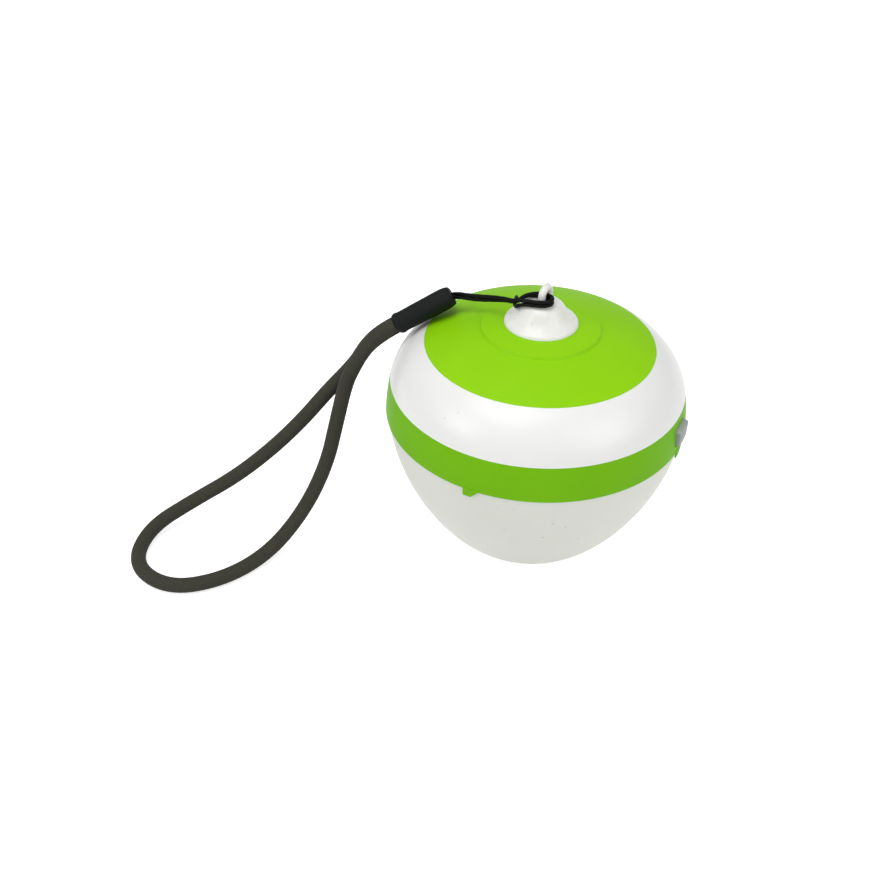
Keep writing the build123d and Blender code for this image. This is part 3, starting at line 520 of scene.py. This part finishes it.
# %% The lamp's visible plastics
cap_green = moulded_plastic(
    "cap_green", (0.290, 0.655, 0.003), (0.238, 0.580, 0.002), 0.45, grain=0.5, bump=0.03,
    scuff=0.10, scuff_colour=(0.40, 0.72, 0.10), specular=0.13)
band_green = moulded_plastic(
    "band_green", (0.186, 0.508, 0.003), (0.154, 0.444, 0.002), 0.45, grain=0.5, bump=0.03,
    scuff=0.12, scuff_colour=(0.34, 0.62, 0.08), specular=0.11)
shell_white = moulded_plastic(
    "shell_white", (0.840, 0.840, 0.825), (0.785, 0.785, 0.770), 0.27, grain=0.4, bump=0.02,
    scuff=0.02, specks=0.35, scuff_colour=(0.62, 0.60, 0.56), speck_colour=(0.50, 0.44, 0.33))
boss_white = moulded_plastic(
    "boss_white", (0.840, 0.840, 0.815), (0.760, 0.755, 0.715), 0.27, grain=0.02, bump=0.6,
    dents=5.0, scuff=0.05, specks=0.3, scuff_colour=(0.55, 0.53, 0.48))
frosted = moulded_plastic(
    "frosted", (0.790, 0.800, 0.740), (0.735, 0.745, 0.680), 0.46, grain=0.9, grain_scale=2200.0,
    bump=0.06, scuff=0.10, specks=0.5, scuff_colour=(0.60, 0.60, 0.56),
    speck_colour=(0.30, 0.29, 0.26), subsurface=0.15)
frosted.node_tree.nodes["Principled BSDF"].inputs["Subsurface Scale"].default_value = 0.004
print("made:", [finish.name for finish in (cap_green, band_green, shell_white)])
print("made:", [finish.name for finish in (boss_white, frosted)])

# %% The switch, sleeve and inner plastics
inner_white = moulded_plastic(
    "inner_white", (0.74, 0.74, 0.71), (0.68, 0.68, 0.65), 0.45, grain=0.8, bump=0.05)
inner_black = moulded_plastic(
    "inner_black", (0.035, 0.035, 0.037), (0.022, 0.022, 0.024), 0.5, grain=0.9, bump=0.08,
    scuff_colour=(0.12, 0.12, 0.12))
switch_grey = moulded_plastic(
    "switch_grey", (0.370, 0.395, 0.370), (0.295, 0.315, 0.295), 0.55, grain=1.0, bump=0.08,
    grain_scale=1600.0, scuff=0.3, scuff_colour=(0.45, 0.47, 0.45))
sleeve_rubber = moulded_plastic(
    "sleeve_rubber", (0.010, 0.012, 0.012), (0.005, 0.007, 0.007), 0.62, grain=1.0, bump=0.10,
    grain_scale=1500.0, scuff=0.25, scuff_colour=(0.05, 0.05, 0.05), specular=0.18)
seal_rubber = moulded_plastic(
    "seal_rubber", (0.030, 0.030, 0.031), (0.018, 0.018, 0.019), 0.5, grain=0.8, bump=0.05,
    scuff_colour=(0.08, 0.08, 0.08))
chip_black = moulded_plastic(
    "chip_black", (0.030, 0.030, 0.032), (0.020, 0.020, 0.022), 0.4, grain=1.0, bump=0.08,
    scuff_colour=(0.10, 0.10, 0.10))
board_green = moulded_plastic(
    "board_green", (0.018, 0.150, 0.060), (0.012, 0.110, 0.045), 0.28, grain=0.4, bump=0.03)
board_white = moulded_plastic(
    "board_white", (0.80, 0.80, 0.78), (0.74, 0.74, 0.72), 0.3, grain=0.4, bump=0.02)
led_phosphor = moulded_plastic(
    "led_phosphor", (0.86, 0.74, 0.26), (0.80, 0.62, 0.14), 0.27, grain=0.8, bump=0.05)
cell_wrap = moulded_plastic(
    "cell_wrap", (0.10, 0.12, 0.20), (0.07, 0.09, 0.16), 0.27, grain=0.3, bump=0.02)
lead_red = moulded_plastic(
    "lead_red", (0.50, 0.02, 0.02), (0.40, 0.015, 0.015), 0.35, grain=0.5, bump=0.03)
lead_black = moulded_plastic(
    "lead_black", (0.020, 0.020, 0.022), (0.012, 0.012, 0.013), 0.35, grain=0.5, bump=0.03)
lead_white = moulded_plastic(
    "lead_white", (0.66, 0.66, 0.64), (0.58, 0.58, 0.56), 0.35, grain=0.5, bump=0.03)
print("made:", [finish.name for finish in (switch_grey, sleeve_rubber, seal_rubber)])

# %% [markdown]
# ## Metals
# The screws, washer and contacts are drawn or pressed metal. Their polish is broken by fine
# lines, so the roughness follows a noise that is stretched along one direction.

# %% Brushed metals
def brushed_metal(name, colour, gloss):
    """Metal whose roughness follows long thin streaks."""
    material, tree, shader = start_material(name, metallic=1.0)
    place = node(tree, "ShaderNodeTexCoord").outputs["Object"]
    along = node(tree, "ShaderNodeMapping", Vector=place)
    along.inputs["Scale"].default_value = (300.0, 4000.0, 4000.0)
    lines = node(tree, "ShaderNodeTexNoise", Vector=along.outputs[0], Scale=1.0, Detail=3.0)
    darker = tuple(0.82 * value for value in colour)
    streaked = mix_colours(tree, lines.outputs["Fac"], colour, darker)
    tree.links.new(streaked, shader.inputs["Base Color"])
    rough = maths(tree, "MULTIPLY_ADD", lines.outputs["Fac"], 0.2, i2=gloss)
    tree.links.new(rough, shader.inputs["Roughness"])
    return material


steel = brushed_metal("steel", (0.62, 0.61, 0.59), 0.22)
contact = brushed_metal("contact", (0.80, 0.78, 0.72), 0.14)
print("made:", [finish.name for finish in (steel, contact)])

# %% [markdown]
# ## Cords
# The loop's yarns are spun from fine fibres, so each yarn carries thin threads along its length.
# The relief that shaped the mesh is kept as an attribute, and it paints shade into the gaps
# between yarns.

# %% Woven cord
LOOP_THREADS = 2600.0        # in a metre
STRING_THREADS = 5200.0


def woven_cord(name, light, dark, rough, threads, bump, depth, sheen, specular):
    """Cord with threads drawn along the UV map; gives the shader and its colour as well."""
    material, tree, shader = start_material(name, sheen=sheen, specular=specular)
    place = node(tree, "ShaderNodeTexCoord").outputs["UV"]
    drawn = node(tree, "ShaderNodeMapping", Vector=place)
    drawn.inputs["Rotation"].default_value = (0.0, 0.0, 0.25)
    drawn.inputs["Scale"].default_value = (threads, threads * 0.16, 1.0)
    thread = node(tree, "ShaderNodeTexNoise", Vector=drawn.outputs[0], Scale=1.0, Detail=3.0)
    body_place = node(tree, "ShaderNodeTexCoord").outputs["Object"]
    patches = node(tree, "ShaderNodeTexNoise", Vector=body_place, Scale=160.0, Detail=2.0)
    spun = mix_colours(tree, thread.outputs["Fac"], dark, light)
    faded = mix_colours(tree, maths(tree, "MULTIPLY", patches.outputs["Fac"], 0.35), spun, light)
    shader.inputs["Roughness"].default_value = rough
    raised = node(tree, "ShaderNodeBump", Strength=bump, Distance=depth,
                  Height=thread.outputs["Fac"])
    tree.links.new(raised.outputs[0], shader.inputs["Normal"])
    return material, tree, shader, faded


# %% The loop's finish, with painted shade in its grooves
loop_woven, loop_tree, loop_shader, loop_faded = woven_cord(
    "loop_woven", (0.074, 0.072, 0.055), (0.030, 0.030, 0.022), 0.88, LOOP_THREADS,
    bump=0.35, depth=0.1 * MM, sheen=0.06, specular=0.12)
groove = node(loop_tree, "ShaderNodeAttribute", [("attribute_name", "relief")]).outputs["Fac"]
painted_groove_shade_share = ramp(loop_tree, groove, 0.2, 0.85)
# Painted shade: where the relief is low, between the yarns, the colour goes to a near-black.
loop_colour_with_painted_shade = mix_colours(loop_tree, painted_groove_shade_share, (0.028, 0.028, 0.021), loop_faded)
loop_tree.links.new(loop_colour_with_painted_shade, loop_shader.inputs["Base Color"])

# %% The string's finish
string_waxed, string_tree, string_shader, string_faded = woven_cord(
    "string_waxed", (0.005, 0.005, 0.005), (0.002, 0.002, 0.002), 0.5, STRING_THREADS,
    bump=0.3, depth=0.06 * MM, sheen=0.0, specular=0.12)
string_tree.links.new(string_faded, string_shader.inputs["Base Color"])
print("made:", [finish.name for finish in (loop_woven, string_waxed)])

# %% [markdown]
# ## Dress every part
# Each part of the engineering model keeps its mesh and takes the finish of its real material.

# %% Materials of the engineering parts
finishes = {
    cap_green: ["top_cap"],
    band_green: ["body_ring"],
    shell_white: ["upper_shell"],
    boss_white: ["hanging_boss"],
    frosted: ["diffuser"],
    inner_white: ["diffuser_collar", "chassis", "battery_door"],
    inner_black: ["battery_tray"],
    switch_grey: ["switch_button"],
    seal_rubber: ["diffuser_o_ring", "boss_seal"],
    chip_black: ["driver_chip", "driver_coil", "tact_switch", "switch_stem"],
    board_green: ["driver_board", "switch_board"],
    board_white: ["led_board"],
    led_phosphor: ["leds"],
    cell_wrap: ["battery_cell_a", "battery_cell_b", "battery_cell_c"],
    steel: ["boss_screw", "boss_washer", "chassis_screws", "door_screws"],
    contact: ["contact_plates", "contact_springs"],
    lead_red: ["battery_lead_red"],
    lead_black: ["battery_lead_black"],
    lead_white: ["switch_leads", "light_leads"],
}
for finish, names in finishes.items():
    for name in names:
        slots = nodes[name].data.materials
        slots.clear()
        slots.append(finish)
for piece, finish in (
    (wrist_loop, loop_woven), (hitch_string, string_waxed), (rubber_sleeve, sleeve_rubber),
):
    piece.data.materials.append(finish)
dressed = {name for names in finishes.values() for name in names}
cord_nodes = {"lanyard_loop", "lanyard_string", "lanyard_sleeve"}
print("parts without a finish:", sorted(set(nodes) - dressed - cord_nodes))

# %% [markdown]
# ## Studio
# The lamp stands on a plain white table under three large soft lights, with an even grey sky as
# fill. The table looks white to the camera and to reflections, and still takes the lamp's soft
# shadow. The sky looks white to the camera, and keeps its strength as fill in reflections.

# %% Table
FLOOR_HALF = 3.0
FLOOR_GLOW = 0.67            # makes the table white to the camera, on top of the light it takes
floor_corners = [(-FLOOR_HALF, -FLOOR_HALF, 0), (FLOOR_HALF, -FLOOR_HALF, 0),
                 (FLOOR_HALF, FLOOR_HALF, 0), (-FLOOR_HALF, FLOOR_HALF, 0)]
floor_mesh = bpy.data.meshes.new("table_top")
floor_mesh.from_pydata(floor_corners, [], [(0, 1, 2, 3)])
table_top = bpy.data.objects.new("table_top", floor_mesh)
bpy.context.scene.collection.objects.link(table_top)

floor_material = bpy.data.materials.new("table_white")
floor_material.use_nodes = True
floor_tree = floor_material.node_tree
floor_tree.nodes.clear()
paper = node(floor_tree, "ShaderNodeBsdfDiffuse", Color=(0.80, 0.80, 0.80, 1.0))
glow = node(floor_tree, "ShaderNodeEmission", Color=(1.0, 1.0, 1.0, 1.0))
rays = node(floor_tree, "ShaderNodeLightPath")
seen = maths(floor_tree, "MAXIMUM", rays.outputs["Is Camera Ray"], rays.outputs["Is Glossy Ray"])
seen = maths(floor_tree, "MAXIMUM", seen, rays.outputs["Is Transmission Ray"])
lift = maths(floor_tree, "MULTIPLY", seen, FLOOR_GLOW)
floor_tree.links.new(lift, glow.inputs["Strength"])
added = node(floor_tree, "ShaderNodeAddShader", i0=paper.outputs[0], i1=glow.outputs[0])
floor_out = floor_tree.nodes.new("ShaderNodeOutputMaterial")
floor_tree.links.new(added.outputs[0], floor_out.inputs["Surface"])
floor_mesh.materials.append(floor_material)

# %% Sky
world = bpy.data.worlds.new("studio")
world.use_nodes = True
bpy.context.scene.world = world
sky_tree = world.node_tree
sky_rays = node(sky_tree, "ShaderNodeLightPath")
sky_seen = maths(
    sky_tree, "MAXIMUM", sky_rays.outputs["Is Camera Ray"],
    sky_rays.outputs["Is Transmission Ray"])
SKY_FILL = 0.42              # strength of the sky as light; the camera sees it at 1
sky_strength = maths(sky_tree, "MULTIPLY_ADD", sky_seen, 1.0 - SKY_FILL, i2=SKY_FILL)
sky = sky_tree.nodes["Background"]
sky.inputs["Color"].default_value = (1.0, 1.0, 1.0, 1.0)
sky_tree.links.new(sky_strength, sky.inputs["Strength"])

# %% Soft lights
lamp_middle = Vector((0.0, 0.0, 0.055))


def soft_light(name, place, size, power):
    """Square area light that faces the lamp's middle; size in metres and power in watts."""
    data = bpy.data.lights.new(name, "AREA")
    data.size = size
    data.energy = power
    light = bpy.data.objects.new(name, data)
    light.location = place
    light.rotation_euler = (lamp_middle - Vector(place)).to_track_quat("-Z", "Y").to_euler()
    bpy.context.scene.collection.objects.link(light)


soft_light("overhead_softbox", (-0.10, -0.25, 0.85), 0.55, 3.3)
soft_light("front_left_softbox", (-0.55, -0.75, 0.55), 0.45, 2.2)
soft_light("right_fill", (0.80, -0.15, 0.50), 0.60, 2.4)
bpy.context.scene.view_settings.view_transform = "Standard"
print("lights:", [item.name for item in bpy.data.lights])
